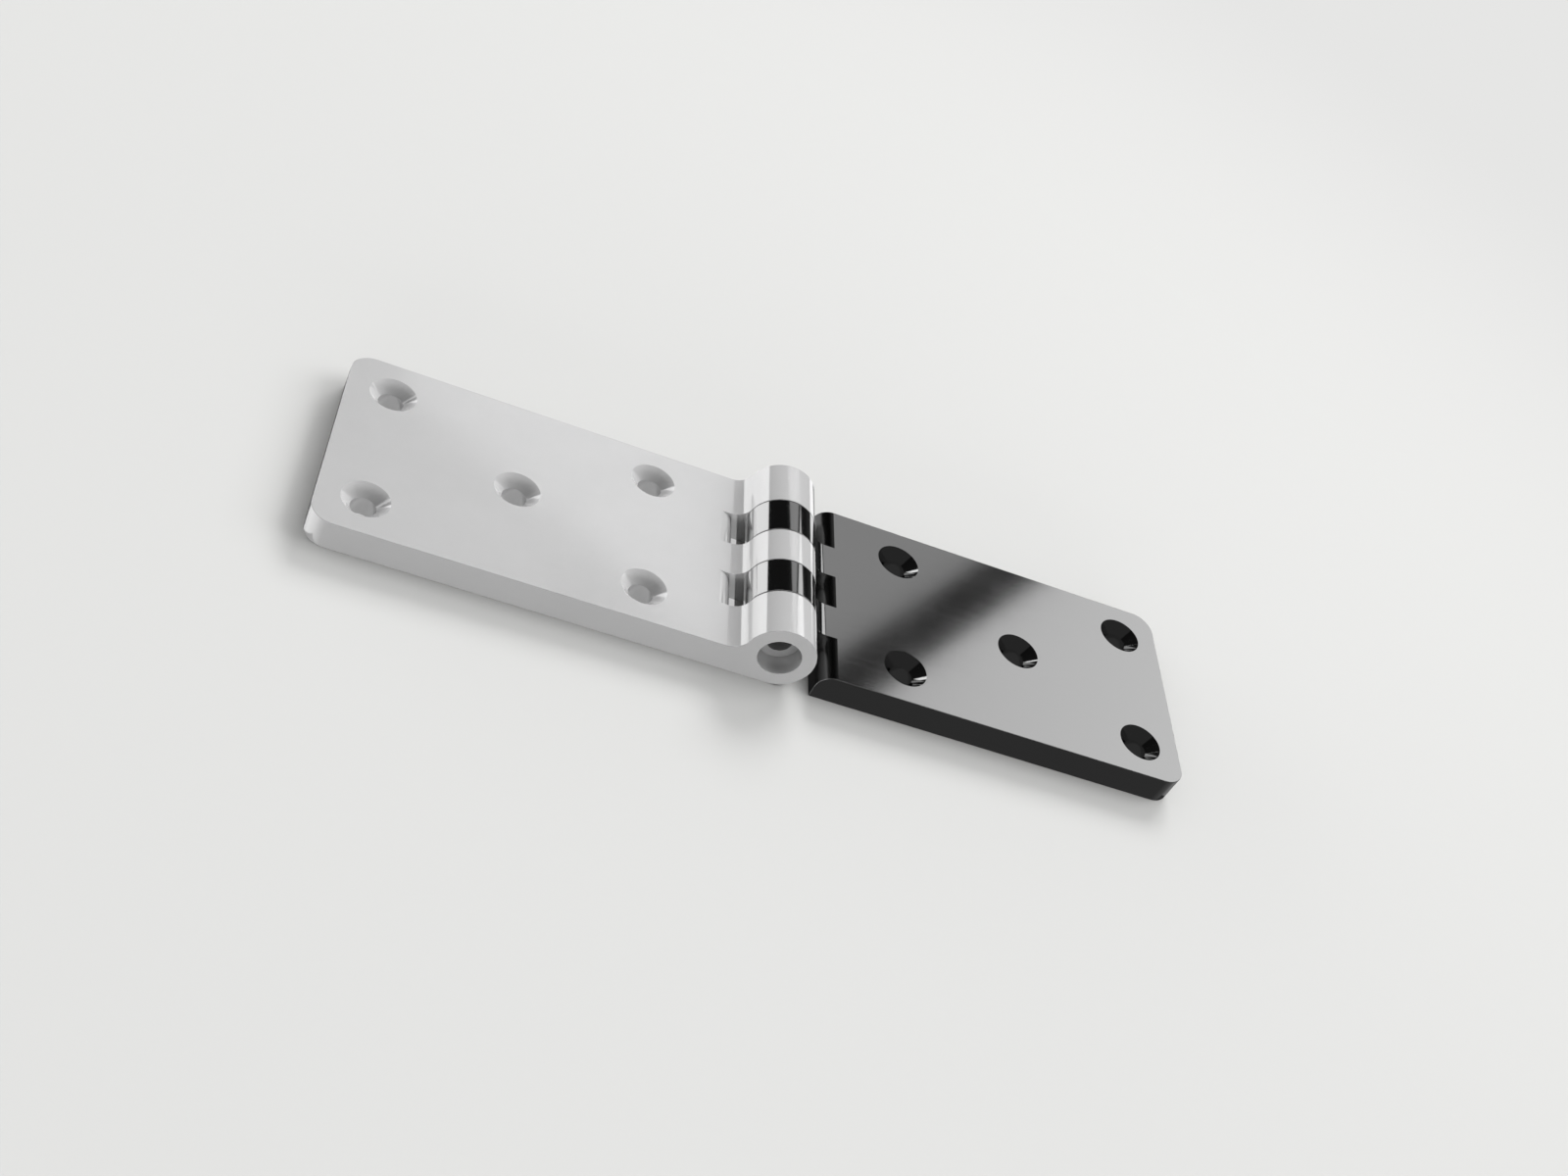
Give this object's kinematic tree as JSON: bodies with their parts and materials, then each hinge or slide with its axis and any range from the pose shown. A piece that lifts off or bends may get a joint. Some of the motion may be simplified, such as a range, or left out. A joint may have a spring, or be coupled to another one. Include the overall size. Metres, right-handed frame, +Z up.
{
  "type": "hinge",
  "caption": "Heavy flat hinge with thick countersunk leaves, interlocking knuckles and a hollow pin recessed in the barrel; it lies open flat and folds shut.",
  "frame": {"origin": "on the surface that the hinge lies on, below the middle of the barrel", "axes": "+X from the leaf with three knuckles to the leaf with two, +Y along the pin, +Z up, to the side where the barrel and the countersinks are"},
  "size_m": [0.2018, 0.055, 0.016],
  "materials": {
    "satin_leaf": "pale satin steel with a light gloss",
    "polished_leaf": "mirror-polished steel",
    "pin_steel": "drawn steel tube, plain turned ends"
  },
  "bodies": {
    "fixed_leaf": {"three_knuckle_leaf": "satin_leaf", "hinge_pin": "pin_steel"},
    "swinging_leaf": {"two_knuckle_leaf": "polished_leaf"}
  },
  "joints": [
    {"name": "leaf_swing", "type": "hinge", "parent": "fixed_leaf", "child": "swinging_leaf", "pos_m": [0, 0, 0.008], "axis": [0, -1, 0], "range_deg": [-100, 180]}
  ]
}
